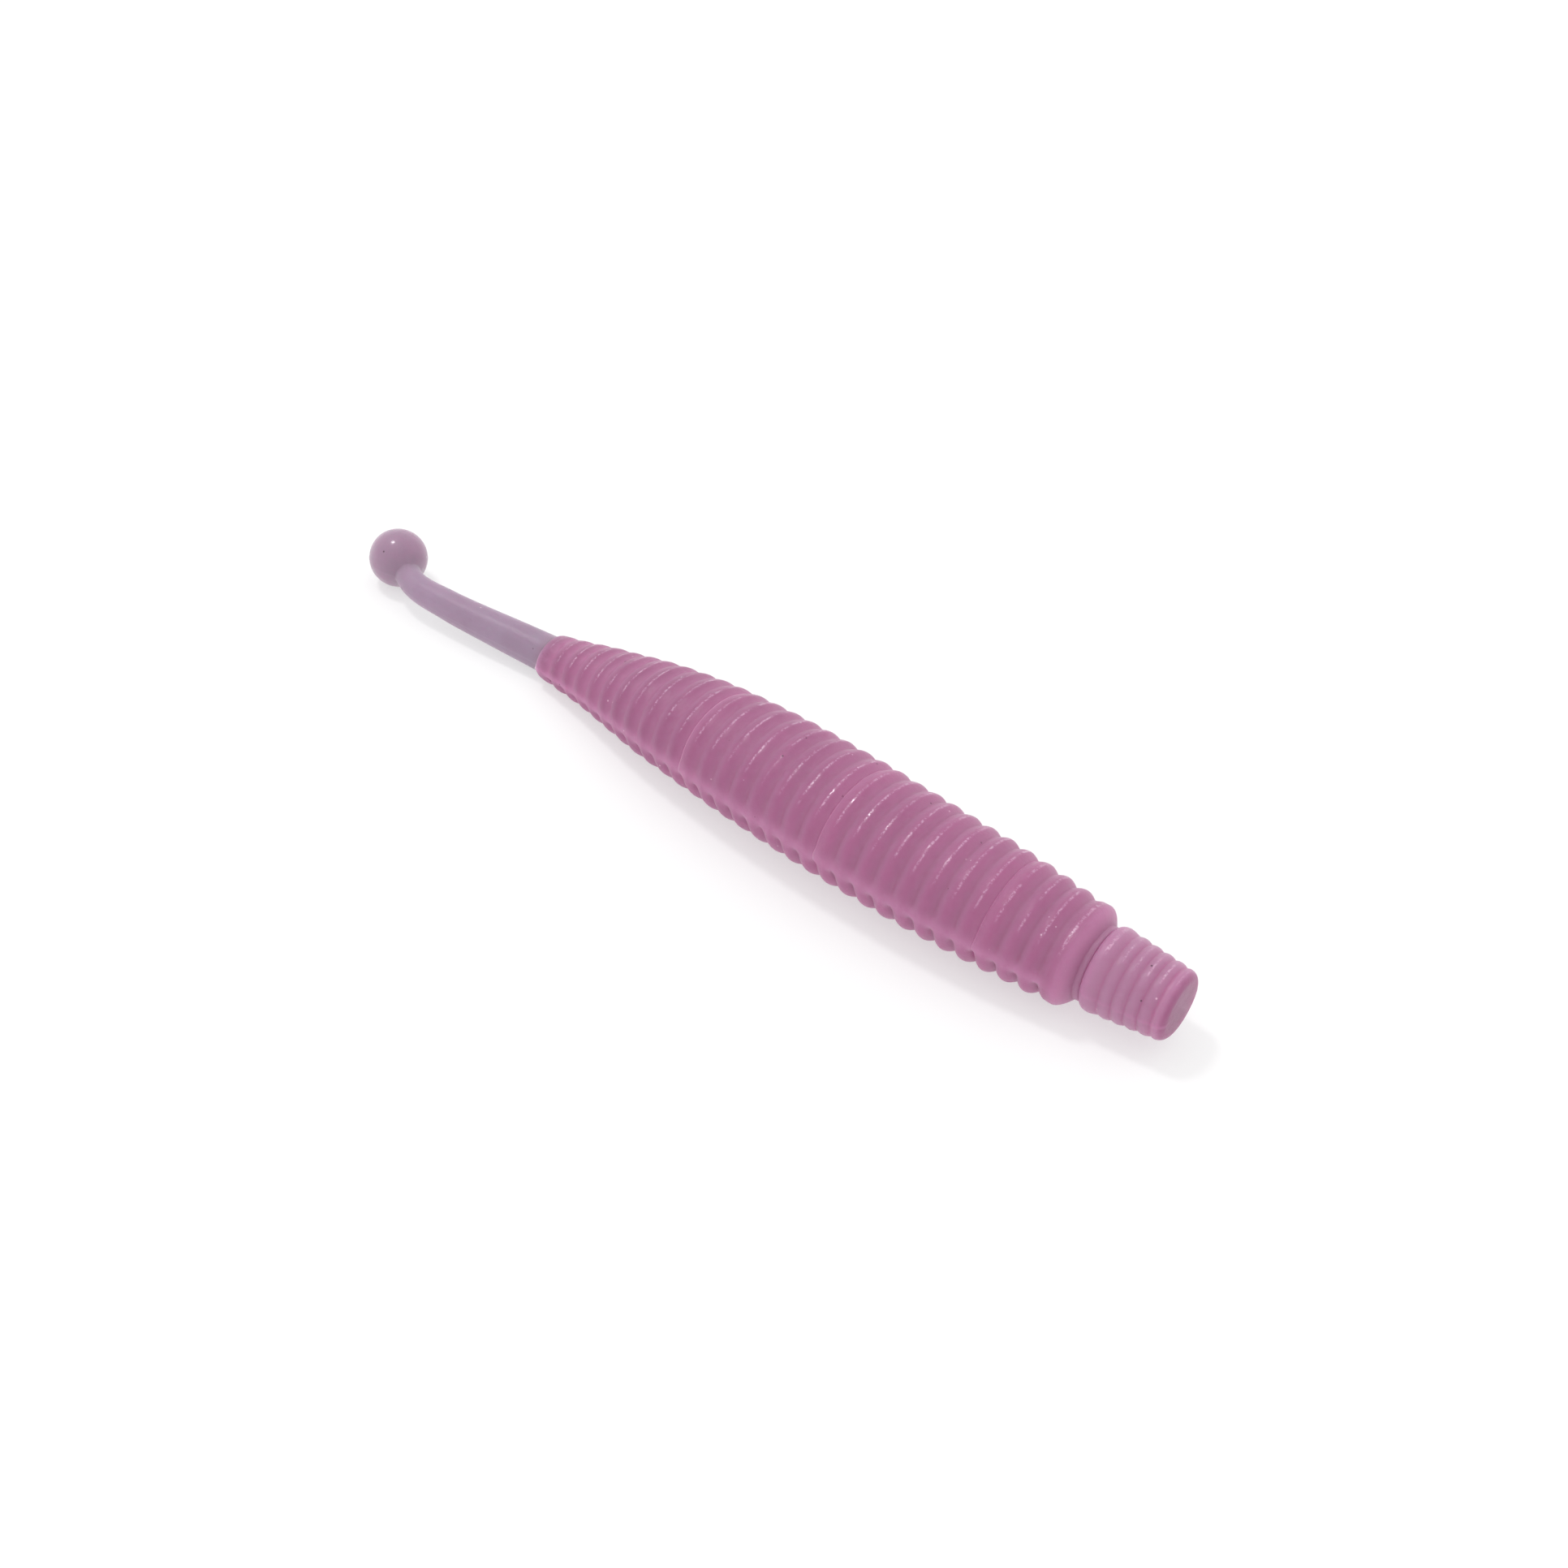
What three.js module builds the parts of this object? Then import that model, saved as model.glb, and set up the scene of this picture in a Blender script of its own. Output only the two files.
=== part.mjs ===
import * as THREE from 'three';

// Soft plastic worm with a ringed head plug, a fat ringed body, a thin stem and a ball tail.
// Units are millimetres. +X points out of the nose, +Z is up, and the nose face is at the origin.
// Distances along the worm are measured backwards from the nose face.

// Head plug, the narrow ringed piece in front of the neck; its back ring is the longest
const plugRings = 6;
const plugPitch = 0.83;
const plugBackLength = 1.31;
const plugBackRadius = 2.74;
const plugFrontRadius = 2.16;
const plugCrest = 0.13;
const plugOval = 0.97;
const noseFaceRadius = 1.7;
const plugEdgeShare = 0.8;

// Neck, the short waist between the head plug and the front body ring
const neckLength = 0.4;
const neckRadius = 2.15;

// Body, one row of rings at an equal pitch; the front ring is longer
const bodyRings = 31;
const bodyPitch = 1.4;
const frontRingExtra = 0.5;
const bodyOval = 0.86;
const frontFaceRadius = 2.85;
const frontRounding = 0.16;

// Half width of the body in its grooves, at shares of its length behind the front face
const halfWidths = [
  { share: 0, halfWidth: 3.1 },
  { share: 0.12, halfWidth: 3.56 },
  { share: 0.25, halfWidth: 3.83 },
  { share: 0.45, halfWidth: 3.95 },
  { share: 0.6, halfWidth: 3.78 },
  { share: 0.75, halfWidth: 3.24 },
  { share: 0.875, halfWidth: 2.38 },
  { share: 1, halfWidth: 1.54 },
];

// How far the ring crests stand above the grooves
const frontCrest = 0.46;
const rearCrest = 0.17;
const crestFullness = 0.8;

// Tail stem and ball
const stemLength = 14.7;
const stemRootRadius = 1.34;
const stemEndRadius = 0.84;
const stemFlexShare = 0.46;
const rootSteps = 6;
const tipSteps = 7;
const ballRadius = 2.02;

// Where the worm lies: all body rings and the ball touch one flat floor
const noseHeight = 3.2;

// Places where the body rings' height on the floor is set, as shares of the body length
const heightShares = [0.06, 0.12, 0.25, 0.45, 0.6, 0.75, 0.875, 1];

// Sideways sweep of the centre line, at shares of the body length behind the front face
const bodySweeps = [
  { share: 0, sweep: 0 },
  { share: 0.25, sweep: 0.02 },
  { share: 0.5, sweep: 0.73 },
  { share: 0.75, sweep: 1.85 },
  { share: 1, sweep: 3.02 },
];

// Sideways sweep and height gain of the stem, at shares of its length behind the collar
const stemSweeps = [
  { share: 0.2, sweep: 2.81, climb: 0.08 },
  { share: 0.4, sweep: 2.58, climb: 0.16 },
  { share: 0.6, sweep: 2.42, climb: 0.26 },
  { share: 0.8, sweep: 2.52, climb: 0.38 },
];
const ballSweep = 3.98;

// Slope of the centre line behind the ball's middle, sideways and upwards
const ballSideSlope = 0.6;
const ballRiseSlope = 0.05;

// Flexing: how far each flex groove turns either way, in degrees, and the room left for it
const bodyFlex = 10;
const neckFlex = 10;
const collarFlex = 25;
const stemFlex = 30;
const flexGap = 0.3;
const flexCore = 0.6;
const flexMargin = 1.12;

// Facets around each section
const bodyFacets = 20;
const plugFacets = 20;
const stemFacets = 16;
const ballFacets = 18;

const plugLength = (plugRings - 1) * plugPitch + plugBackLength;
const frontFacePlace = plugLength + neckLength;
const bodyStart = frontFacePlace + frontRingExtra;
const bodyLength = bodyRings * bodyPitch;
const collarPlace = bodyStart + bodyLength;
const ballPlace = collarPlace + stemLength;
const degree = Math.PI / 180;

// A smooth run of values through stations along the worm
function smoothRun(places, values) {
  const run = new THREE.CubicInterpolant(places, values, 1, [0]);
  return (place) => run.evaluate(place)[0];
}

const bodyPlaceOf = (share) => bodyStart + share * bodyLength;

const halfWidthAt = smoothRun(
  halfWidths.map((station) => bodyPlaceOf(station.share)),
  halfWidths.map((station) => station.halfWidth),
);

function crestAt(place) {
  const share = THREE.MathUtils.clamp((place - bodyStart) / bodyLength, 0, 1);
  return THREE.MathUtils.lerp(frontCrest, rearCrest, share * share);
}

// Height of the body's centre above the floor when its rings lie on the floor
const bodyHeightAt = (place) => halfWidthAt(place) * bodyOval + crestAt(place);

const collarHeight = bodyHeightAt(collarPlace);

const sweepAt = smoothRun(
  [
    0,
    plugLength,
    ...bodySweeps.map((station) => bodyPlaceOf(station.share)),
    ...stemSweeps.map((station) => collarPlace + station.share * stemLength),
    ballPlace,
    ballPlace + ballRadius,
  ],
  [
    0,
    0,
    ...bodySweeps.map((station) => station.sweep),
    ...stemSweeps.map((station) => station.sweep),
    ballSweep,
    ballSweep + ballSideSlope * ballRadius,
  ],
);

const heightStations = heightShares.map(bodyPlaceOf);

const heightAt = smoothRun(
  [
    0,
    plugLength,
    ...heightStations,
    ...stemSweeps.map((station) => collarPlace + station.share * stemLength),
    ballPlace,
    ballPlace + ballRadius,
  ],
  [
    0,
    0,
    ...heightStations.map((place) => bodyHeightAt(place) - noseHeight),
    ...stemSweeps.map((station) => collarHeight + station.climb - noseHeight),
    ballRadius - noseHeight,
    ballRadius - noseHeight + ballRiseSlope * ballRadius,
  ],
);

const backwards = new THREE.Vector3(-1, 0, 0);
const upwards = new THREE.Vector3(0, 0, 1);
const slopeStep = 0.05;

// The worm's section plane at one place: its centre, and its sideways, backward and upward directions
function sectionAt(place) {
  const centre = new THREE.Vector3(-place, sweepAt(place), heightAt(place));
  const before = Math.max(place - slopeStep, 0);
  const span = place + slopeStep - before;
  const back = backwards.clone().multiplyScalar(span);
  back.y = sweepAt(place + slopeStep) - sweepAt(before);
  back.z = heightAt(place + slopeStep) - heightAt(before);
  if (place <= plugLength) back.set(-1, 0, 0);
  back.normalize();
  const side = new THREE.Vector3().crossVectors(back, upwards).normalize();
  const up = new THREE.Vector3().crossVectors(side, back);
  return { centre, side, up };
}

// Turns a profile of radius and place into a solid of revolution that follows the centre line.
// A facet, not an edge, faces down, so that the worm lies steadily on a floor
function solidAlong(profile, facets, ovalAt) {
  const points = profile.map(([radius, place]) => new THREE.Vector2(radius, place));
  const geometry = new THREE.LatheGeometry(points, facets, Math.PI / facets);
  const position = geometry.getAttribute('position');
  const sections = new Map();
  const vertex = new THREE.Vector3();
  for (let index = 0; index < position.count; index += 1) {
    vertex.fromBufferAttribute(position, index);
    const place = vertex.y;
    if (!sections.has(place)) sections.set(place, sectionAt(place));
    const { centre, side, up } = sections.get(place);
    const moved = centre.clone();
    moved.addScaledVector(side, vertex.x);
    moved.addScaledVector(up, vertex.z * ovalAt(place));
    position.setXYZ(index, moved.x, moved.y, moved.z);
  }
  geometry.computeVertexNormals();
  return geometry;
}

// Room beside a flex groove: flat by the axis, then leaning back so that the turn can't close it
function reliefAt(radius, turn, sides) {
  const lean = Math.tan((turn * flexMargin * degree) / sides);
  return flexGap / 2 + Math.max(radius - flexCore, 0) * lean;
}

// Rounded outer edge of a ring from one place to another
const lobeShares = [0, 0.14, 0.32, 0.5, 0.68, 0.86, 1];
const lobeSpacing = 0.05;

function lobe(from, to, grooveAt, crest, start, end) {
  const rise = (share) => crest * Math.sin(Math.PI * share) ** crestFullness;
  const pointAt = (share) => {
    const place = from + (to - from) * share;
    return [grooveAt(place) + rise(share), place];
  };
  const inner = lobeShares.filter(
    (share) => share > start + lobeSpacing && share < end - lobeSpacing,
  );
  return [start, ...inner, end].map(pointAt);
}

// The two faces of a ring: flat against the next ring, flexing against it, or flat with a gap
const flatFace = { gap: 0, turn: 0 };
const flexFace = { gap: flexGap / 2, turn: bodyFlex };
const collarFace = { gap: flexGap / 2, turn: 0 };

function ringProfile(from, to, grooveAt, crest, before, after) {
  const setBack = (face, radius) => (face.turn ? reliefAt(radius, face.turn, 2) : face.gap);
  const pitch = to - from;
  const start = setBack(before, grooveAt(from) + crest) / pitch;
  const end = 1 - setBack(after, grooveAt(to) + crest) / pitch;
  const edge = lobe(from, to, grooveAt, crest, start, end);
  const frontCore = before.turn ? [[flexCore, from + before.gap]] : [];
  const backCore = after.turn ? [[flexCore, to - after.gap]] : [];
  return [[0, from + before.gap], ...frontCore, ...edge, ...backCore, [0, to - after.gap]];
}

function plasticMaterial(colour, roughness) {
  return new THREE.MeshStandardMaterial({ color: colour, roughness, metalness: 0 });
}

const bodyPlastic = plasticMaterial(0xae6c92, 0.34);
const tailPlastic = plasticMaterial(0xa67f9c, 0.38);

function piece(name, geometry, material) {
  const mesh = new THREE.Mesh(geometry, material);
  mesh.name = name;
  return mesh;
}

const twoDigits = (number) => String(number).padStart(2, '0');

const plugGrooveAt = (place) => {
  const share = THREE.MathUtils.clamp(place / plugLength, 0, 1);
  return THREE.MathUtils.lerp(plugFrontRadius, plugBackRadius, share);
};

// The nose ring carries the flat nose face and its rounded edge
function noseProfile() {
  const edgeRadius = plugGrooveAt(plugPitch);
  const rounding = edgeRadius - noseFaceRadius;
  return [
    [0, 0],
    [noseFaceRadius, 0],
    [noseFaceRadius + 0.55 * rounding, 0.14 * plugPitch],
    [noseFaceRadius + 0.9 * rounding, 0.38 * plugPitch],
    [edgeRadius + plugEdgeShare * plugCrest, 0.68 * plugPitch],
    [edgeRadius, plugPitch],
    [0, plugPitch],
  ];
}

// The last plug ring rounds off towards the neck, which touches its flat back face
function plugBackProfile(from, to) {
  return [
    [0, from],
    [plugGrooveAt(from), from],
    [plugBackRadius + plugEdgeShare * plugCrest, THREE.MathUtils.lerp(from, to, 0.35)],
    [plugBackRadius + plugEdgeShare * plugCrest, THREE.MathUtils.lerp(from, to, 0.7)],
    [neckRadius + flexGap, to],
    [0, to],
  ];
}

function addHeadPlug(worm) {
  const ovalAt = () => plugOval;
  worm.add(piece('head_ring_01', solidAlong(noseProfile(), plugFacets, ovalAt), bodyPlastic));
  for (let ring = 2; ring <= plugRings; ring += 1) {
    const from = (ring - 1) * plugPitch;
    const to = ring < plugRings ? ring * plugPitch : plugLength;
    const profile = ring < plugRings
      ? ringProfile(from, to, plugGrooveAt, plugCrest, flatFace, flatFace)
      : plugBackProfile(from, to);
    const name = `head_ring_${twoDigits(ring)}`;
    worm.add(piece(name, solidAlong(profile, plugFacets, ovalAt), bodyPlastic));
  }
}

function addNeck(worm) {
  const from = plugLength;
  const to = frontFacePlace - flexGap / 2;
  const profile = [
    [0, from],
    [neckRadius, from],
    [neckRadius, to],
    [0, to],
  ];
  worm.add(piece('neck', solidAlong(profile, plugFacets, () => plugOval), bodyPlastic));
}

// The front body ring: its front face leaves room for the neck to turn
function frontRingProfile(from, to) {
  const crest = crestAt(from);
  const relief = reliefAt(neckRadius + flexGap, neckFlex, 1);
  const start = (relief + frontRounding) / (to - from);
  const edge = lobe(from, to, halfWidthAt, crest, start, 1);
  return [
    [0, from + flexGap / 2],
    [flexCore, from + flexGap / 2],
    [neckRadius + flexGap, from + relief],
    [frontFaceRadius, from + relief],
    ...edge,
    [0, to],
  ];
}

const flexRings = [8, 16, 24];

function addBody(worm) {
  const ovalAt = () => bodyOval;
  for (let ring = 1; ring <= bodyRings; ring += 1) {
    const from = ring === 1 ? frontFacePlace : bodyStart + (ring - 1) * bodyPitch;
    const to = bodyStart + ring * bodyPitch;
    const before = flexRings.includes(ring - 1) ? flexFace : flatFace;
    const joined = flexRings.includes(ring) ? flexFace : flatFace;
    const after = ring === bodyRings ? collarFace : joined;
    const crest = crestAt((from + to) / 2);
    const profile = ring === 1
      ? frontRingProfile(from, to)
      : ringProfile(from, to, halfWidthAt, crest, before, after);
    const name = `body_ring_${twoDigits(ring)}`;
    worm.add(piece(name, solidAlong(profile, bodyFacets, ovalAt), bodyPlastic));
  }
}

const stemRadiusAt = (place) => {
  const share = THREE.MathUtils.clamp((place - collarPlace) / stemLength, 0, 1);
  return THREE.MathUtils.lerp(stemRootRadius, stemEndRadius, share);
};

// A length of stem; each end may lean back where it meets a flex groove
function stemProfile(from, to, turnBefore, turnAfter, steps) {
  const fromRadius = stemRadiusAt(from);
  const toRadius = stemRadiusAt(to);
  const start = from + reliefAt(fromRadius, turnBefore, 1);
  const end = to - reliefAt(toRadius, turnAfter, 1);
  const profile = [[0, from + flexGap / 2], [flexCore, from + flexGap / 2]];
  for (let step = 0; step <= steps; step += 1) {
    const place = THREE.MathUtils.lerp(start, end, step / steps);
    profile.push([stemRadiusAt(place), place]);
  }
  profile.push([flexCore, to - flexGap / 2], [0, to - flexGap / 2]);
  return profile;
}

const stemFlexPlace = collarPlace + stemFlexShare * stemLength;
const ballFlexPlace = ballPlace - ballRadius - flexGap / 2;

function addTail(worm) {
  const round = () => 1;
  const root = stemProfile(collarPlace, stemFlexPlace, collarFlex, stemFlex / 2, rootSteps);
  const tip = stemProfile(stemFlexPlace, ballFlexPlace, stemFlex / 2, 0, tipSteps);
  worm.add(piece('stem_root', solidAlong(root, stemFacets, round), tailPlastic));
  worm.add(piece('stem_tip', solidAlong(tip, stemFacets, round), tailPlastic));
  const ball = piece(
    'tail_ball',
    new THREE.SphereGeometry(ballRadius, ballFacets, ballFacets / 2 + 2),
    tailPlastic,
  );
  ball.position.copy(sectionAt(ballPlace).centre);
  worm.add(ball);
}

const worm = new THREE.Group();
addHeadPlug(worm);
addNeck(worm);
addBody(worm);
addTail(worm);

export default worm;
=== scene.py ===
import math
import bpy
import numpy as np
from mathutils import Matrix, Vector, noise


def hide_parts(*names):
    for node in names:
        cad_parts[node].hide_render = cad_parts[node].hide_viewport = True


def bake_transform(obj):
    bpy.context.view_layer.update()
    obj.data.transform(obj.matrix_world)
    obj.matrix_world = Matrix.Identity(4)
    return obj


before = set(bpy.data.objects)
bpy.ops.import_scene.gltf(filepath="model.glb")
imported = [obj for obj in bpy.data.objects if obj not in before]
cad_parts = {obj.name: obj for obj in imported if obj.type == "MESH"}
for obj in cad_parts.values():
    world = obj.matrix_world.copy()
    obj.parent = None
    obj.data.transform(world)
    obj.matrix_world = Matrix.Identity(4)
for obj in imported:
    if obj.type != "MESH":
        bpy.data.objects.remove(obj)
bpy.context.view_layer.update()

mm = 0.001
mergeDistance = 0.0005

# Sizes in millimetres; a place is counted backwards from the nose face
worm = {
    "plugPitch": 0.83,
    "plugBackLength": 1.31,
    "plugRings": 6,
    "neckLength": 0.4,
    "frontRingExtra": 0.5,
    "bodyPitch": 1.4,
    "bodyRings": 31,
    "stemLength": 14.7,
    "ballRadius": 2.02,
    "noseHeight": 3.2,
    "bodyOval": 0.86,
    "plugOval": 0.97,
    "bodySweeps": ((0, 0), (0.25, 0.02), (0.5, 0.73), (0.75, 1.85), (1, 3.02)),
    "stemSweeps": ((0.2, 2.81, 0.08), (0.4, 2.58, 0.16), (0.6, 2.42, 0.26), (0.8, 2.52, 0.38)),
    "ballSweep": 3.98,
    "ballSideSlope": 0.6,
    "ballRiseSlope": 0.05,
    "frontCrest": 0.46,
    "rearCrest": 0.17,
    "heightShares": (0.06, 0.12, 0.25, 0.45, 0.6, 0.75, 0.875, 1),
    "halfWidths": ((0, 3.1), (0.12, 3.56), (0.25, 3.83), (0.45, 3.95),
                   (0.6, 3.78), (0.75, 3.24), (0.875, 2.38), (1, 1.54)),
}

plugLength = (worm["plugRings"] - 1) * worm["plugPitch"] + worm["plugBackLength"]
frontFacePlace = plugLength + worm["neckLength"]
bodyStart = frontFacePlace + worm["frontRingExtra"]
bodyLength = worm["bodyRings"] * worm["bodyPitch"]
collarPlace = bodyStart + bodyLength
ballPlace = collarPlace + worm["stemLength"]


def smoothRun(stations):
    # a smooth value through (place, value) stations
    places = [station[0] for station in stations]
    values = [station[1] for station in stations]
    last = len(places) - 1

    def at(place):
        right = 1
        while right < last and place > places[right]:
            right += 1
        left = right - 1
        span = places[right] - places[left]
        before = left - 1 if left > 0 else right
        after = right + 1 if right < last else left
        pullBefore = span * 0.5 / (places[left] - places[before])
        pullAfter = span * 0.5 / (places[after] - places[right])
        share = (place - places[left]) / span
        square, cube = share * share, share * share * share
        return (values[before] * pullBefore * (2 * square - cube - share)
                + values[left] * ((1 + pullBefore) * cube - (1.5 + 2 * pullBefore) * square
                                  + (pullBefore - 0.5) * share + 1)
                + values[right] * ((-1 - pullAfter) * cube + (1.5 + pullAfter) * square
                                   + 0.5 * share)
                + values[after] * pullAfter * (cube - square))

    return at


def bodyPlace(share):
    return bodyStart + share * bodyLength


halfWidthAt = smoothRun([(bodyPlace(share), width) for share, width in worm["halfWidths"]])


def mix(a, b, share):
    return a + (b - a) * share


def clamp(value, low=0.0, high=1.0):
    return min(max(value, low), high)


def smoothStep(low, high, value):
    share = clamp((value - low) / (high - low))
    return share * share * (3 - 2 * share)


def crestAt(place):
    share = clamp((place - bodyStart) / bodyLength)
    return mix(worm["frontCrest"], worm["rearCrest"], share * share)


def lyingHeight(place):
    # how high the centre line runs when the worm lies on its belly
    return halfWidthAt(place) * worm["bodyOval"] + crestAt(place)


stemStations = [(collarPlace + share * worm["stemLength"], sweep, climb)
                for share, sweep, climb in worm["stemSweeps"]]
collarHeight = lyingHeight(collarPlace)

sweepAt = smoothRun(
    [(0, 0), (plugLength, 0)]
    + [(bodyPlace(share), sweep) for share, sweep in worm["bodySweeps"]]
    + [(place, sweep) for place, sweep, climb in stemStations]
    + [(ballPlace, worm["ballSweep"]),
       (ballPlace + worm["ballRadius"],
        worm["ballSweep"] + worm["ballSideSlope"] * worm["ballRadius"])])

heightAt = smoothRun(
    [(0, 0), (plugLength, 0)]
    + [(bodyPlace(share), lyingHeight(bodyPlace(share)) - worm["noseHeight"])
       for share in worm["heightShares"]]
    + [(place, collarHeight + climb - worm["noseHeight"]) for place, sweep, climb in stemStations]
    + [(ballPlace, worm["ballRadius"] - worm["noseHeight"]),
       (ballPlace + worm["ballRadius"],
        (1 + worm["ballRiseSlope"]) * worm["ballRadius"] - worm["noseHeight"])])


def sectionAt(place):
    # centre, sideways and upward directions of the section plane at one place
    step = 0.05
    before = max(place - step, 0)
    centre = Vector((-place, sweepAt(place), heightAt(place)))
    back = Vector((-(place + step - before), sweepAt(place + step) - sweepAt(before),
                   heightAt(place + step) - heightAt(before)))
    if place <= plugLength:
        back = Vector((-1, 0, 0))
    back.normalize()
    side = back.cross(Vector((0, 0, 1))).normalized()
    return centre, side, side.cross(back)


def deselectAll():
    if bpy.context.object and bpy.context.object.mode != "OBJECT":
        bpy.ops.object.mode_set(mode="OBJECT")
    bpy.ops.object.select_all(action="DESELECT")


def quarterTurns(count):
    return [math.radians(90 * step / count) for step in range(1, count + 1)]


def drawProfile(name, points):
    # a line drawn point by point in the XY plane: X is minus the place, Y the radius
    deselectAll()
    bpy.ops.mesh.primitive_plane_add(size=0.1, location=(0, 0, 0))
    line = bpy.context.object
    line.name = name
    bpy.ops.object.mode_set(mode="EDIT")
    bpy.ops.mesh.select_all(action="SELECT")
    bpy.ops.mesh.merge(type="CENTER")
    startPlace, startRadius = points[0]
    bpy.ops.transform.translate(value=(-startPlace, startRadius, 0))
    for (place, radius), (nextPlace, nextRadius) in zip(points, points[1:]):
        bpy.ops.mesh.extrude_vertices_move(
            TRANSFORM_OT_translate={"value": (place - nextPlace, nextRadius - radius, 0)})
    return line


def spinLine(line, steps):
    bpy.ops.mesh.select_all(action="SELECT")
    bpy.ops.mesh.spin(steps=steps, angle=2 * math.pi, center=(0, 0, 0), axis=(1, 0, 0))
    bpy.ops.mesh.select_all(action="SELECT")
    bpy.ops.mesh.remove_doubles(threshold=mergeDistance)
    bpy.ops.mesh.normals_make_consistent(inside=False)
    bpy.ops.object.mode_set(mode="OBJECT")
    bpy.ops.object.shade_smooth()
    return line


def paintAttribute(piece, name, values):
    layer = piece.data.attributes.new(name=name, type="FLOAT", domain="POINT")
    layer.data.foreach_set("value", np.asarray(values, dtype=np.float32))


def layAlongWorm(piece, sections, ovalAt, shapeAt):
    # moves a straight turned piece onto the centre line, with the moulding's small irregularities
    known = {}
    painted = {"lobe": [], "seam": [], "plug": [], "height": [], "dim": []}
    for vertex in piece.data.vertices:
        place = -vertex.co.x
        angle = math.atan2(vertex.co.z, vertex.co.y)
        radius = math.hypot(vertex.co.y, vertex.co.z)
        key = round(place, 5)
        if key not in known:
            known[key] = (sections(place), ovalAt(place))
        (centre, side, up), oval = known[key]
        radius, lobe, seam = shapeAt(place, angle, radius)
        spot = centre + side * (radius * math.cos(angle)) + up * (radius * math.sin(angle) * oval)
        vertex.co = spot * mm
        row = (lobe, seam, tintAt(place), math.sin(angle), dimAt(place))
        for values, value in zip(painted.values(), row):
            values.append(value)
    for name, values in painted.items():
        paintAttribute(piece, name, values)
    piece.data.update()


# Where the colour changes along the worm, in millimetres from the named place; the nose face is
# darkened with painted shade and the neck paled with painted light
shading = {
    "plugFade": (0.8, 1.5),
    "collarFade": (3.0, 1.0),
    "ballFade": (3.0, 1.0),
    "facePaintedShade": 0.8,
    "faceFade": (0.05, 0.5),
    "neckPaintedLight": 1.2,
    "neckFade": (1.2, 1.0),
    "rearDim": 0.5,
    "rearShares": (0.2, 0.85),
}


def tintAt(place):
    # 1 on the plug, the collar and the ball, whose colour differs a little from their neighbours'
    beforeEnd, afterStart = shading["plugFade"]
    beforeCollar, afterCollar = shading["collarFade"]
    ballFar, ballNear = shading["ballFade"]
    collar = smoothStep(collarPlace - beforeCollar, collarPlace, place)
    collar *= 1 - smoothStep(collarPlace, collarPlace + afterCollar, place)
    return (1 - smoothStep(plugLength - beforeEnd, bodyStart + afterStart, place) + collar
            + smoothStep(ballPlace - ballFar, ballPlace - ballNear, place))


def dimAt(place):
    # painted shade darkens the flat nose face and painted light makes the neck, which lies in shade,
    # paler; the colour also darkens towards the rear
    neckBefore, neckAfter = shading["neckFade"]
    rearStart, rearEnd = shading["rearShares"]
    face = shading["facePaintedShade"] * (1 - smoothStep(*shading["faceFade"], place))
    neck = smoothStep(plugLength - neckBefore, frontFacePlace, place)
    neck *= 1 - smoothStep(frontFacePlace, bodyStart + neckAfter, place)
    rear = smoothStep(bodyPlace(rearStart), bodyPlace(rearEnd), place)
    return face - shading["neckPaintedLight"] * neck + shading["rearDim"] * rear


def finishPiece(piece, material, nodes):
    piece.data.materials.clear()
    piece.data.materials.append(material)
    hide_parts(*nodes)


# Shader building: an Expression wraps a socket, so that sums on it add Math nodes
class Expression:
    def __init__(self, shop, socket):
        self.shop = shop
        self.socket = socket

    def math(self, operation, *others):
        values = {0: self}
        values.update({index + 1: other for index, other in enumerate(others)})
        return self.shop.node("ShaderNodeMath", {"operation": operation}, values)

    def __add__(self, other):
        return self.math("ADD", other)

    def __radd__(self, other):
        return self.math("ADD", other)

    def __sub__(self, other):
        return self.math("SUBTRACT", other)

    def __rsub__(self, other):
        return self.shop.node("ShaderNodeMath", {"operation": "SUBTRACT"}, {0: other, 1: self})

    def __mul__(self, other):
        return self.math("MULTIPLY", other)

    def __rmul__(self, other):
        return self.math("MULTIPLY", other)

    def above(self, low, high):
        return self.shop.node("ShaderNodeMapRange", {"interpolation_type": "SMOOTHSTEP"},
                              {"Value": self, "From Min": low, "From Max": high})


class MaterialShop:
    def __init__(self, name):
        self.material = bpy.data.materials.new(name)
        self.material.use_nodes = True
        self.tree = self.material.node_tree
        self.shader = self.tree.nodes["Principled BSDF"]

    def node(self, kind, settings=None, values=None, output=0):
        made = self.tree.nodes.new(kind)
        for name, setting in (settings or {}).items():
            setattr(made, name, setting)
        for key, value in (values or {}).items():
            self.feed(made.inputs[key], value)
        return Expression(self, made.outputs[output])

    def feed(self, socket, value):
        if isinstance(value, Expression):
            self.tree.links.new(value.socket, socket)
        else:
            socket.default_value = value

    def setInputs(self, values):
        for name, value in values.items():
            self.feed(self.shader.inputs[name], value)

    def objectPlace(self, scale):
        place = self.node("ShaderNodeTexCoord", output="Object")
        return self.node("ShaderNodeMapping", None, {"Vector": place, "Scale": scale})

    def attribute(self, name):
        return self.node("ShaderNodeAttribute", {"attribute_name": name}, output="Fac")

    def noise(self, place, scale, detail=2.0, roughness=0.5):
        return self.node("ShaderNodeTexNoise", None,
                         {"Vector": place, "Scale": scale, "Detail": detail,
                          "Roughness": roughness})

    def cells(self, place, scale):
        return self.node("ShaderNodeTexVoronoi", {"feature": "F1"},
                         {"Vector": place, "Scale": scale}, output="Distance")

    def mixColours(self, share, a, b):
        # on a colour Mix node, sockets 6 and 7 are the two colours and output 2 is the result
        return self.node("ShaderNodeMix", {"data_type": "RGBA"}, {0: share, 6: a, 7: b}, output=2)

    def bump(self, height, strength, distance, normal=None):
        values = {"Height": height, "Strength": strength, "Distance": distance}
        if normal:
            values["Normal"] = normal
        return self.node("ShaderNodeBump", None, values)


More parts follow.
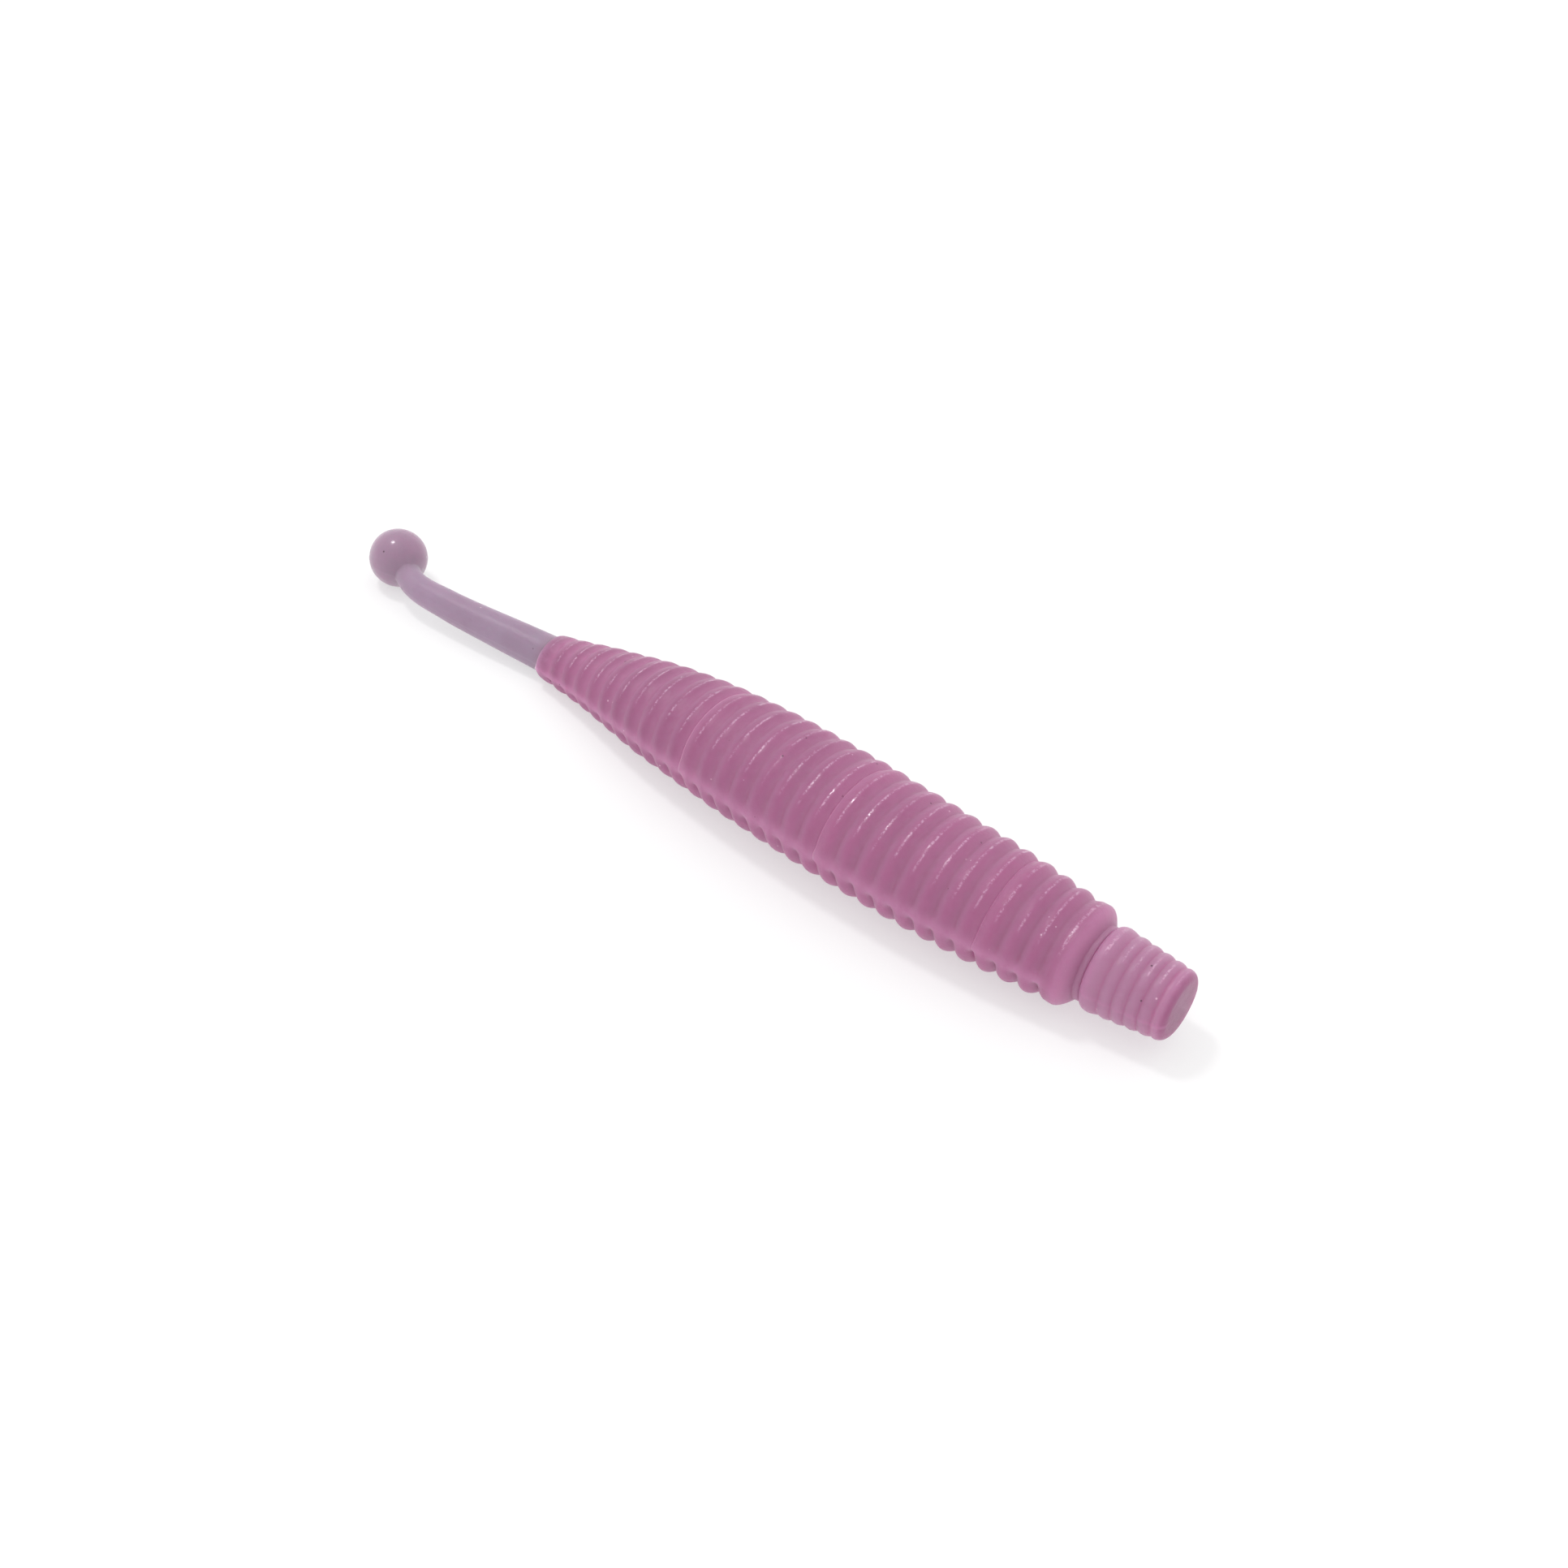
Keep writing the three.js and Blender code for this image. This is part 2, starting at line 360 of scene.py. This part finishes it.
def linearColour(red, green, blue):
    # a screen colour of 0 to 255 as the linear colour that a shader takes
    def linear(value):
        value /= 255
        return value / 12.92 if value <= 0.04045 else ((value + 0.055) / 1.055) ** 2.4

    return (linear(red), linear(green), linear(blue), 1.0)


# The plastic: scales are patterns per millimetre, pairs are where a mask starts and is full
softPlastic = {
    "cloudScale": 0.28,
    "mottleScale": 2.2,
    "grainScale": 7.0,
    "grainHeight": 0.03,
    "mottleHeight": 0.06,
    "mottleBump": 0.35,
    "speckScale": 0.8,
    "speckEdge": (0.04, 0.07),
    "glintScale": 1.1,
    "glintEdge": (0.04, 0.085),
    "homeScale": 0.5,
    "homeEdge": (0.5, 0.56),
    "breakScale": 4.5,
    "breakShare": 0.6,
    "breakEdge": (0.44, 0.6),
    "patchScale": 0.7,
    "patchEdge": (0.3, 0.52),
    "crownEdge": (0.55, 0.8),
    "plugCrownEdge": (0.86, 0.93),
    "crestEdge": (0.965, 1.0),
    "deepEdge": (-0.2, 1.0),
    "liftEdge": (0.25, 1.2),
    "hollowPaintedLight": 0.8,
    "paintedHighlightColour": linearColour(222, 186, 210),
    "glintColour": (0.8, 0.6, 0.72, 1),
    "speckColour": (0.06, 0.02, 0.04, 1),
    "smearScale": (350, 1500, 1500),
    "roughness": 0.36,
    "streakRoughness": 0.17,
    "coatRoughness": 0.16,
    "subsurfaceScale": 3.4,
    "subsurfaceRadius": (1.0, 0.6, 0.8),
    "bend": 1.46,
    "specular": 0.3,
}

bodyFinish = {
    "base": linearColour(157, 97, 132),
    "deep": linearColour(138, 83, 116),
    "pale": linearColour(176, 120, 154),
    "plugTint": linearColour(168, 121, 150),
    "grain": 0.6,
    "streaks": 1.0,
    "plugCoat": 0.0,
}

tailFinish = {
    "base": linearColour(158, 144, 163),
    "deep": linearColour(144, 124, 142),
    "pale": linearColour(168, 154, 170),
    "plugTint": linearColour(158, 121, 147),
    "grain": 0.3,
    "streaks": 0.0,
    "plugCoat": 0.6,
}


def speckMasks(shop, place):
    # tiny dark bubbles and bright glints, kept only where a slow noise is high or low
    specks = shop.cells(place, softPlastic["speckScale"])
    glints = shop.cells(place, softPlastic["glintScale"])
    home = shop.noise(place, softPlastic["homeScale"], 1.0, 0.4)
    homeEdge = softPlastic["homeEdge"]
    speckMask = (1 - specks.above(*softPlastic["speckEdge"])) * home.above(*homeEdge)
    glintMask = (1 - glints.above(*softPlastic["glintEdge"])) * (1 - home).above(*homeEdge)
    return speckMask, glintMask


def streakMask(shop, place, grain, lobe, plug):
    # glossier streaks along the upper ring crests, broken up by the grain; the colour they carry is a
    # painted highlight
    breakNoise = shop.noise(place, softPlastic["breakScale"], 4.0, 0.75)
    patch = shop.noise(place, softPlastic["patchScale"], 2.0, 0.5)
    breakBlend = breakNoise * softPlastic["breakShare"] + grain * (1 - softPlastic["breakShare"])
    broken = breakBlend.above(*softPlastic["breakEdge"]) * patch.above(*softPlastic["patchEdge"])
    height = shop.attribute("height")
    plugCrown = height.above(*softPlastic["plugCrownEdge"])
    crown = height.above(*softPlastic["crownEdge"]) * (1 - plug * (1 - plugCrown))
    return lobe.above(*softPlastic["crestEdge"]) * broken * crown


def softPlasticMaterial(name, finish):
    shop = MaterialShop(name)
    place = shop.objectPlace((1000, 1000, 1000))
    lobe = shop.attribute("lobe")
    seam = shop.attribute("seam")
    plug = shop.attribute("plug")
    cloud = shop.noise(place, softPlastic["cloudScale"], 3.0, 0.55)
    mottle = shop.noise(place, softPlastic["mottleScale"], 4.0, 0.6)
    grain = shop.noise(place, softPlastic["grainScale"], 3.0, 0.6)
    speckMask, glintMask = speckMasks(shop, place)
    streak = streakMask(shop, place, grain, lobe, plug) * finish["streaks"]
    # colour: cloudy plastic in random tones, with painted light in the hollows, paler there to offset
    # the shade that falls in them
    # the dim attribute darkens the nose face with painted shade, pales the neck with painted light
    # and darkens towards the rear
    deepShare = (cloud - 0.5) * 0.9 + (mottle - 0.5) * 0.3 + shop.attribute("dim")
    pale = finish["pale"]
    colour = shop.mixColours(plug, finish["base"], finish["plugTint"])
    colour = shop.mixColours(deepShare.above(*softPlastic["deepEdge"]), colour, finish["deep"])
    colour = shop.mixColours((0 - deepShare).above(*softPlastic["liftEdge"]), colour, pale)
    # painted light: the hollows between rings are paler to offset their shade
    colour = shop.mixColours((1 - lobe) * softPlastic["hollowPaintedLight"], colour, pale)
    colour = shop.mixColours(seam * (0.35 + mottle * 0.9), colour, pale)
    # painted highlight along the upper ring crests, where the overhead light would catch them
    colour = shop.mixColours(streak * 0.6, colour, softPlastic["paintedHighlightColour"])
    colour = shop.mixColours(glintMask * 0.6, colour, softPlastic["glintColour"])
    colour = shop.mixColours(speckMask * 0.75, colour, softPlastic["speckColour"])
    # finish: smeared satin, glossier on the streaks
    smear = shop.noise(shop.objectPlace(softPlastic["smearScale"]), 1.0, 3.0, 0.6)
    rough = softPlastic["roughness"] + (smear - 0.5) * 0.2 + (1 - lobe) * 0.1 + seam * 0.1
    polish = softPlastic["roughness"] - softPlastic["streakRoughness"]
    coarse = shop.bump(mottle, softPlastic["mottleBump"], softPlastic["mottleHeight"] * mm)
    fine = shop.bump(grain, finish["grain"], softPlastic["grainHeight"] * mm, coarse)
    shop.setInputs({
        "Base Color": colour,
        "Roughness": rough - streak * polish,
        "Coat Weight": streak * 0.8 + glintMask * 0.7 + plug * finish["plugCoat"],
        "Coat Roughness": softPlastic["coatRoughness"],
        "Normal": fine,
        "Subsurface Weight": 1.0,
        "Subsurface Scale": softPlastic["subsurfaceScale"] * mm,
        "Subsurface Radius": softPlastic["subsurfaceRadius"],
        "IOR": softPlastic["bend"],
        "Specular IOR Level": softPlastic["specular"],
    })
    return shop.material


print("materials")
bodyPlastic = softPlasticMaterial("bodyPlastic", bodyFinish)
tailPlastic = softPlasticMaterial("tailPlastic", tailFinish)

# Head plug: the flat nose face with its rounded edge, six shallow rings, and the back face
headPlug = {
    "noseRounding": 0.62,
    "frontRadius": 2.16,
    "backRadius": 2.74,
    "crest": 0.13,
    "neckRadius": 2.52,
    "backEdge": 0.42,
    "backCorner": 0.05,
    "pointsPerRing": 12,
    "edgeSteps": 10,
    "neckSteps": 12,
    "wobble": 0.012,
    "seamHeight": 0.03,
    "seamWidth": 0.05,
}


def plugGroove(place):
    share = clamp(place / plugLength)
    return mix(headPlug["frontRadius"], headPlug["backRadius"], share)


def plugProfile():
    # from the nose face to the start of the body
    pitch = worm["plugPitch"]
    rounding = headPlug["noseRounding"]
    face = plugGroove(pitch) + headPlug["crest"] * 0.6 - rounding
    points = [(0, 0), (0, 0.5), (0, 1.0)]
    for turn in [0] + quarterTurns(headPlug["edgeSteps"]):
        points.append((rounding * (1 - math.cos(turn)), face + rounding * math.sin(turn)))
    count = headPlug["pointsPerRing"]
    for ring in range(2, worm["plugRings"] + 1):
        start = (ring - 1) * pitch
        last = ring == worm["plugRings"]
        for step in range(count // 2 + 1 if last else count):
            share = step / count
            place = start + share * (worm["plugBackLength"] if last else pitch)
            rise = headPlug["crest"] * abs(math.sin(math.pi * share)) ** 0.9
            points.append((place, plugGroove(place) + rise))
    # the back ring rounds over and falls to the neck, which then runs to the body
    crestPlace, crestRadius = points[-1]
    corner = plugLength - headPlug["backCorner"]
    for turn in quarterTurns(headPlug["edgeSteps"]):
        points.append((mix(crestPlace, corner, math.sin(turn)),
                       crestRadius - headPlug["backEdge"] * (1 - math.cos(turn)) ** 1.2))
    edgeRadius = points[-1][1]
    for step in range(1, headPlug["neckSteps"] + 1):
        share = step / headPlug["neckSteps"]
        place = mix(corner, frontFacePlace, share)
        fall = 1 - math.exp(-4 * share)
        points.append((place, mix(edgeRadius, headPlug["neckRadius"], fall)))
    return points


def plugShape(place, angle, radius):
    wobble = noise.noise(Vector((place * 0.9, math.cos(angle) * 1.3, math.sin(angle) * 1.3)))
    seam = seamAt(angle, place, headPlug["seamWidth"])
    # the irregularities fade out towards the middle of the nose face
    inner = smoothStep(0.8, 1.8, radius)
    pitch = worm["plugPitch"]
    lastRing = (worm["plugRings"] - 1) * pitch
    share = place / pitch % 1 if place < lastRing else (place - lastRing) / worm["plugBackLength"]
    lobe = math.sin(math.pi * clamp(share)) ** 0.6 if place > 0.3 else 0.9
    rough = headPlug["wobble"] * wobble + headPlug["seamHeight"] * seam
    return radius + rough * inner, lobe, seam * inner * 0.6


def seamAt(angle, place, width):
    # closeness to the mould's parting line along both sides
    wander = 0.02 * noise.noise(Vector((place * 0.35, 5.1, 0)))
    return math.exp(-((math.sin(angle) - wander) / width) ** 2)


# Body: one row of rings; each ring rises and falls evenly between its grooves, except the first,
# which flares out of the neck
bodyRings = {
    "steps": 144,
    "pointsPerRing": 14,
    "frontCrestShare": 0.3,
    "cuts": (0, 4, 12, 20, 31),
    "cutGap": 0.01,
    "cutGlow": (0.24, 0.122, 0.192, 1),
    "upperPower": 1.15,
    "upperFill": 0.34,
    "underPower": 0.7,
    "underDepth": 0.12,
    "underEdge": (0.04, 0.2),
    "flareSteps": 24,
    "settleSteps": 6,
    "collarSteps": 8,
    "collarShare": 0.45,
    "collarDrop": 0.3,
    "seamWidth": 0.15,
    "seamHeight": 0.02,
    "seamFill": 0.92,
    "slowWobble": 0.035,
    "quickWobble": 0.018,
    "neckReach": 0.75,
    "bodyReach": 3.6,
}


def ringRise(place, under=0.0):
    # 0 in a groove, 1 on a crest; the lobes under the parting line are fatter
    share = ((place - bodyStart) / worm["bodyPitch"]) % 1.0
    swell = abs(math.sin(math.pi * share))
    return mix(swell ** bodyRings["upperPower"], swell ** bodyRings["underPower"], under)


def cutFaceMaterial():
    # the hidden faces between skin pieces glow: painted light that stands in for the light the solid
    # plastic would carry across them
    shop = MaterialShop("cutFace")
    shop.setInputs({
        "Base Color": linearColour(172, 106, 144),
        "Emission Color": bodyRings["cutGlow"],
        "Emission Strength": 1.0,
    })
    return shop.material


cutFace = cutFaceMaterial()


def markCutFaces(piece, places):
    piece.data.materials.append(cutFace)
    for face in piece.data.polygons:
        spots = [-piece.data.vertices[index].co.x for index in face.vertices]
        for place in places:
            if max(abs(spot - place) for spot in spots) < mergeDistance:
                face.material_index = 1


def bodyRadius(place):
    return halfWidthAt(place) + crestAt(place) * ringRise(place)


def flareOutOfNeck(ringed):
    # the front face flares out of the neck and rounds over into the first crest
    pitch = worm["bodyPitch"]
    steps, settleSteps = bodyRings["flareSteps"], bodyRings["settleSteps"]
    start = ringed[0][0]
    kept = [point for point in ringed if point[0] > start + 0.6 * pitch]
    crestPlace = start + bodyRings["frontCrestShare"] * pitch
    crestRadius = bodyRadius(start + 0.5 * pitch)
    flare = []
    for step in range(1, steps + 1):
        share = step / steps
        swell = math.sin(math.pi * share / 2) ** 1.1
        flare.append((mix(frontFacePlace, crestPlace, share),
                      mix(headPlug["neckRadius"], crestRadius, swell)))
    for step in range(1, settleSteps + 1):
        share = step / (settleSteps + 1)
        flare.append((mix(crestPlace, kept[0][0], share),
                      mix(crestRadius, kept[0][1], share * share)))
    return flare + kept


def roundCollar(ringed):
    # the last ring rounds down to the stem
    end = ringed[-1][0]
    kept = [point for point in ringed
            if point[0] < end - bodyRings["collarShare"] * worm["bodyPitch"]]
    crestPlace, crestRadius = kept[-1]
    return kept + [(crestPlace + (end - crestPlace) * math.sin(turn),
                    crestRadius - bodyRings["collarDrop"] * (1 - math.cos(turn)))
                   for turn in quarterTurns(bodyRings["collarSteps"])]


def bodyProfile(firstGroove, lastGroove):
    pitch, gap = worm["bodyPitch"], bodyRings["cutGap"]
    ending = lastGroove == worm["bodyRings"]
    start = bodyStart + firstGroove * pitch + (gap if firstGroove else 0)
    end = bodyStart + lastGroove * pitch - (0 if ending else gap)
    count = (lastGroove - firstGroove) * bodyRings["pointsPerRing"]
    places = [mix(start, end, step / count) for step in range(count + 1)]
    points = [(place, bodyRadius(place)) for place in places]
    if firstGroove == 0:
        points = plugProfile() + flareOutOfNeck(points)
    if ending:
        points = roundCollar(points)
    # the end faces run to the centre line, so that each skin is closed
    inward = (0.66, 0.33, 0)
    if firstGroove:
        points = [(start, points[0][1] * share) for share in reversed(inward)] + points
    return points + [(end, points[-1][1] * share) for share in inward]


def bodyShape(place, angle, radius):
    if place < frontFacePlace:
        return plugShape(place, angle, radius)
    full = bodyRadius(clamp(place, bodyStart, collarPlace))
    inner = smoothStep(0.8, 1.0, radius / max(full, 0.1))
    if place < bodyStart + 0.5 * worm["bodyPitch"]:
        inner = 1.0
    under = smoothStep(*bodyRings["underEdge"], -math.sin(angle))
    ends = (smoothStep(bodyStart + 0.85, bodyStart + 1.4, place)
            * smoothStep(collarPlace, collarPlace - 0.9, place))
    rise = mix(1.0, ringRise(place, under), smoothStep(bodyStart, bodyStart + 1.2, place))
    groove = halfWidthAt(max(place, bodyStart))
    crest = crestAt(place)
    seam = seamAt(angle, place, bodyRings["seamWidth"])
    seam *= smoothStep(bodyStart, bodyStart + worm["bodyPitch"], place)
    fill = bodyRings["upperFill"] * (1 - under) * (1 - rise)
    ringed = groove + crest * (rise + fill) - bodyRings["underDepth"] * under * (1 - rise)
    radius = mix(radius, ringed, ends * inner)
    # the parting line fills the grooves with a thin web of plastic
    filled = groove + crest * bodyRings["seamFill"]
    shaped = mix(radius, max(radius, filled), seam * 0.9) + bodyRings["seamHeight"] * seam
    around = Vector((math.cos(angle), math.sin(angle), 0)) * groove
    slow = noise.noise(Vector((place * 0.45, around.x * 0.35, around.y * 0.35)))
    quick = noise.noise(Vector((place * 1.3 + 9, around.x * 1.1, around.y * 1.1)))
    wobble = bodyRings["slowWobble"] * slow + bodyRings["quickWobble"] * quick
    shaped += wobble * smoothStep(frontFacePlace, bodyStart + 0.7, place)
    lobe = min(rise, smoothStep(frontFacePlace, bodyStart + 0.5, place))
    return mix(radius, shaped, inner), lobe, seam * inner


def ovalAt(place):
    # the plug is nearly round and the body is wider than tall
    return mix(worm["plugOval"], worm["bodyOval"], smoothStep(plugLength, bodyStart + 0.3, place))


def grooveAt(number):
    return bodyStart + number * worm["bodyPitch"]


def ringNodes(name, first, last):
    return [f"{name}_ring_{number:02d}" for number in range(first, last + 1)]


def makeBody():
    # each skin runs between two cuts and stands in for the CAD rings there, which are hidden
    cuts = bodyRings["cuts"]
    neckReach, bodyReach = bodyRings["neckReach"], bodyRings["bodyReach"]
    skins = (("headAndNeck", "head", "body_front", frontFacePlace, neckReach),
             ("bodyFront", "body_front", "body_mid_front", grooveAt(8), bodyReach),
             ("bodyMiddle", "body_mid_front", "body_mid_rear", grooveAt(16), bodyReach),
             ("bodyRear", "body_mid_rear", "body_rear", grooveAt(24), bodyReach))
    cutPlaces = [grooveAt(cut) + side * bodyRings["cutGap"] for cut in cuts[1:-1] for side in (-1, 1)]
    for (name, ahead, behind, pivot, reach), first, last in zip(skins, cuts, cuts[1:]):
        piece = spinLine(drawProfile(name, bodyProfile(first, last)), bodyRings["steps"])
        nodes = ringNodes("body", first + 1, last)
        if first == 0:
            nodes += ringNodes("head", 1, worm["plugRings"]) + ["neck"]
        finishPiece(piece, bodyPlastic, nodes)
        markCutFaces(piece, cutPlaces)
        layAlongWorm(piece, sectionAt, ovalAt, bodyShape)
        tuple(sectionAt(pivot - reach)[0] * mm)
        tuple(sectionAt(pivot + reach)[0] * mm)
        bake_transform(piece)
        print(name)


# Tail: a smooth stem that thins towards the ball and runs into it in one skin
tail = {
    "rootRadius": 1.34,
    "endRadius": 0.84,
    "inside": 0.9,
    "flexShare": 0.46,
    "joinBefore": 2.15,
    "straighten": 1.4,
    "fillet": 0.5,
    "filletStep": 0.05,
    "rootDrop": 0.44,
    "flexReach": 2.6,
    "steps": 96,
    "stemSteps": 84,
    "ballSteps": 44,
    "wobble": 0.012,
    "seamWidth": 0.04,
}

joinPlace = ballPlace - tail["joinBefore"]
joinCentre = sectionAt(joinPlace)[0]
ballCentre = sectionAt(ballPlace)[0]
ballBack = (ballCentre - joinCentre).normalized()
ballSide = ballBack.cross(Vector((0, 0, 1))).normalized()
ballUp = ballSide.cross(ballBack)
ballReach = (ballCentre - joinCentre).length


def tailSection(place):
    # the stem's own sections, which turn into straight ones through the ball
    if place >= joinPlace:
        return joinCentre + ballBack * (place - joinPlace), ballSide, ballUp
    centre, side, up = sectionAt(place)
    share = smoothStep(joinPlace - tail["straighten"], joinPlace, place)
    return centre, side.lerp(ballSide, share).normalized(), up.lerp(ballUp, share).normalized()


def stemRadius(place):
    share = clamp((place - collarPlace) / worm["stemLength"])
    radius = mix(tail["rootRadius"], tail["endRadius"], share)
    if place < collarPlace:
        radius -= tail["rootDrop"] * ((collarPlace - place) / tail["inside"]) ** 2
    return radius


def tailProfile():
    start = collarPlace - tail["inside"]
    middle = joinPlace + ballReach
    points = [(start, 0), (start, 0.45), (start, 0.9)]
    count = tail["stemSteps"]
    for step in range(1, count + 1):
        place = mix(start, joinPlace, step / count)
        points.append((place, stemRadius(place)))
    # a fillet carries the stem into the ball
    ball = worm["ballRadius"]
    fillet = tail["fillet"]
    thin = stemRadius(joinPlace)
    place = joinPlace
    while place < middle - 0.8 * ball:
        place += tail["filletStep"]
        out = middle - place
        sphere = math.sqrt(max(ball * ball - out * out, 0))
        near = clamp(fillet - abs(sphere - thin), 0, fillet) / fillet
        points.append((place, max(sphere, thin) + near * near * fillet / 4))
    first = math.acos((middle - place) / ball) + math.radians(3)
    turns = tail["ballSteps"]
    for step in range(turns + 1):
        turn = mix(first, math.pi, step / turns)
        points.append((middle - ball * math.cos(turn), ball * math.sin(turn) if step < turns else 0))
    return points


def tailShape(place, angle, radius):
    inBall = smoothStep(joinPlace, joinPlace + 0.6, place)
    seam = seamAt(angle, place, tail["seamWidth"])
    wobble = noise.noise(Vector((place * 0.5, math.cos(angle), math.sin(angle))))
    inner = smoothStep(0, 0.5, radius)
    rough = tail["wobble"] * (wobble + seam)
    return radius + rough * inner, 1.0, seam * 0.35 * (1 - 0.5 * inBall)


def makeTail():
    skin = spinLine(drawProfile("tailSkin", tailProfile()), tail["steps"])
    layAlongWorm(skin, tailSection, lambda place: 1.0, tailShape)
    finishPiece(skin, tailPlastic, ["stem_root", "stem_tip", "tail_ball"])
    pivot = collarPlace + tail["flexShare"] * worm["stemLength"]
    tuple(sectionAt(pivot - tail["flexReach"])[0] * mm)
    tuple(sectionAt(pivot + tail["flexReach"])[0] * mm)
    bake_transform(skin)


makeBody()
makeTail()
print("tail")

# Studio: a white floor under the worm, one soft light overhead and a white surround
studio = {
    "floorSize": 3.0,
    "floorGap": 0.02,
    "keyPlace": (-0.25, -0.02, 0.49),
    "keyTarget": (-0.03, 0, 0),
    "keyPower": 0.7,
    "keySize": 0.09,
    "surround": 0.98,
    "floorWhite": 0.45,
    "floorGlow": 0.52,
    "cameraPlace": (34.65, -99.13, 101.26),
    "cameraTarget": (-28.69, 0.28, 0.69),
    "cameraRoll": 5.53,
    "lens": 57.19,
    "sensorWidth": 36,
}


def makeFloor():
    deselectAll()
    floorHeight = -(worm["noseHeight"] + studio["floorGap"]) * mm
    bpy.ops.mesh.primitive_plane_add(size=studio["floorSize"], location=(0, 0, floorHeight))
    floor = bpy.context.object
    floor.name = "floor"
    shop = MaterialShop("floorWhite")
    white = studio["floorWhite"]
    shop.setInputs({
        "Base Color": (white, white, white, 1),
        "Emission Color": (1, 1, 1, 1),
        "Emission Strength": studio["floorGlow"],
        "Roughness": 0.9,
    })
    floor.data.materials.append(shop.material)


def makeCamera():
    place = Vector(studio["cameraPlace"]) * mm
    target = Vector(studio["cameraTarget"]) * mm
    camera = bpy.data.objects.new("camera", bpy.data.cameras.new("camera"))
    bpy.context.collection.objects.link(camera)
    camera.data.lens = studio["lens"]
    camera.data.sensor_width = studio["sensorWidth"]
    camera.data.clip_start = 0.005
    back = (place - target).normalized()
    right = Vector((0, 0, 1)).cross(back).normalized()
    up = back.cross(right)
    roll = math.radians(studio["cameraRoll"])
    rolledRight = right * math.cos(roll) + up * math.sin(roll)
    rolledUp = up * math.cos(roll) - right * math.sin(roll)
    turn = Matrix((rolledRight, rolledUp, back)).transposed().to_4x4()
    camera.matrix_world = Matrix.Translation(place) @ turn
    bpy.context.scene.camera = camera


def makeLights():
    spot = Vector(studio["keyPlace"])
    light = bpy.data.objects.new("overheadSoftbox", bpy.data.lights.new("overheadSoftbox", "AREA"))
    light.data.shape = "DISK"
    light.data.size = studio["keySize"]
    light.data.energy = studio["keyPower"]
    light.location = spot
    direction = Vector(studio["keyTarget"]) - spot
    light.rotation_euler = direction.to_track_quat("-Z", "Y").to_euler()
    bpy.context.collection.objects.link(light)
    world = bpy.data.worlds.new("studioSurround")
    world.use_nodes = True
    background = world.node_tree.nodes["Background"]
    background.inputs["Color"].default_value = (1, 1, 1, 1)
    background.inputs["Strength"].default_value = studio["surround"]
    bpy.context.scene.world = world


makeFloor()
makeCamera()
makeLights()
bpy.context.scene.view_settings.view_transform = "Standard"
print("studio")
